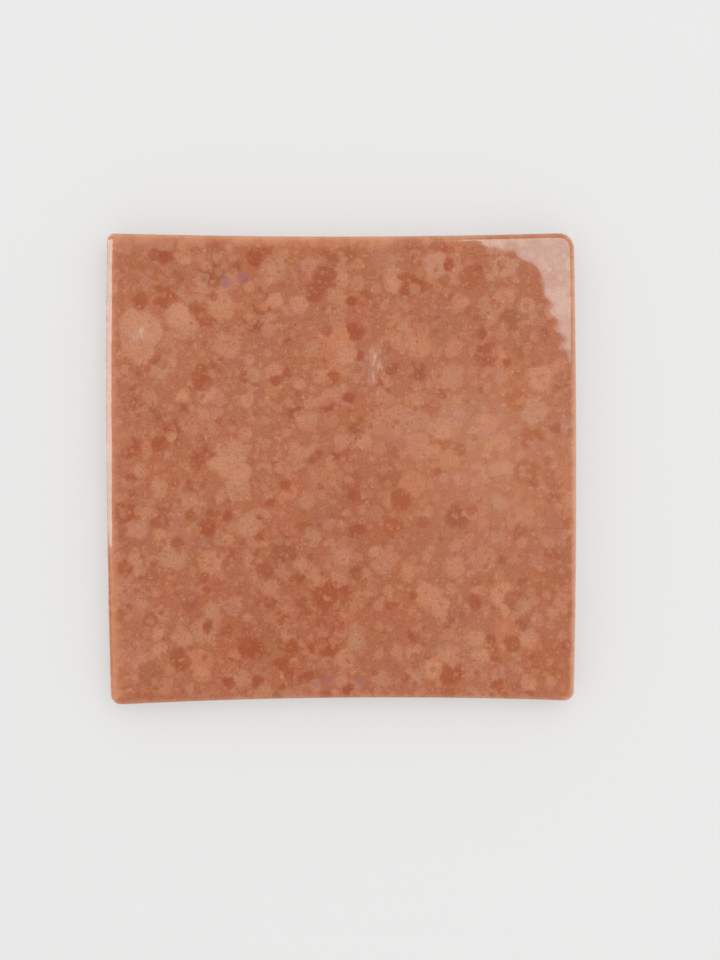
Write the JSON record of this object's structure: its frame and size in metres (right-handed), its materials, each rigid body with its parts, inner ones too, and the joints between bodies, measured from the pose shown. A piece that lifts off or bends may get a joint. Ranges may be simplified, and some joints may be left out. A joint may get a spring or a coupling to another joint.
{
  "type": "glazed ceramic tile",
  "caption": "Square hand-pressed ceramic wall tile with a glossy mottled terracotta glaze, a softly cushioned face, rolled edges and a grooved back that keys into adhesive.",
  "frame": {"origin": "middle of the bedding face, which is the tile's back, on its plane", "axes": "+Z out of the glazed face; +Y towards the edge that is uppermost on a wall; +X towards the right-hand edge, seen from the front"},
  "size_m": [0.131, 0.131, 0.0101],
  "materials": {
    "glaze": "gloss"
  },
  "bodies": {
    "root": {"tile": "glaze"}
  },
  "joints": []
}
